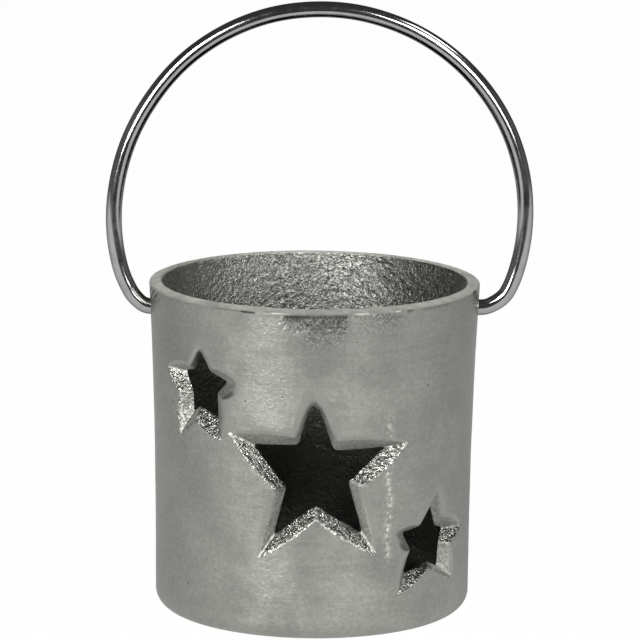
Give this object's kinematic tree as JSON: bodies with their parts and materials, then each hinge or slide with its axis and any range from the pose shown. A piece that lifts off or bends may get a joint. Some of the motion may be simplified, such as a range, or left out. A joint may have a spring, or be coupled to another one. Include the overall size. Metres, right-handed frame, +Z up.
{
  "type": "tealight holder",
  "caption": "Round cast-metal tealight holder with star-shaped windows in its flared wall and a hooped wire bail handle that swings on pivots in the wall.",
  "frame": {"origin": "centre of the cup's underside, on the surface it stands on", "axes": "+Z up, -Y towards the big star, X along the bail's pivot axis"},
  "size_m": [0.1074, 0.083, 0.1538],
  "materials": {
    "cast_aluminium": "ground to a satin outside, rough cast inside and on the star bevels",
    "bail_wire": "polished bright plated steel wire"
  },
  "bodies": {
    "cup": {"cup": "cast_aluminium"},
    "bail": {"bail_handle": "bail_wire"}
  },
  "joints": [
    {"name": "bail_swing", "type": "hinge", "parent": "cup", "child": "bail", "pos_m": [0, 0, 0.0763], "axis": [1, 0, 0], "range_deg": [-146, 146]}
  ]
}
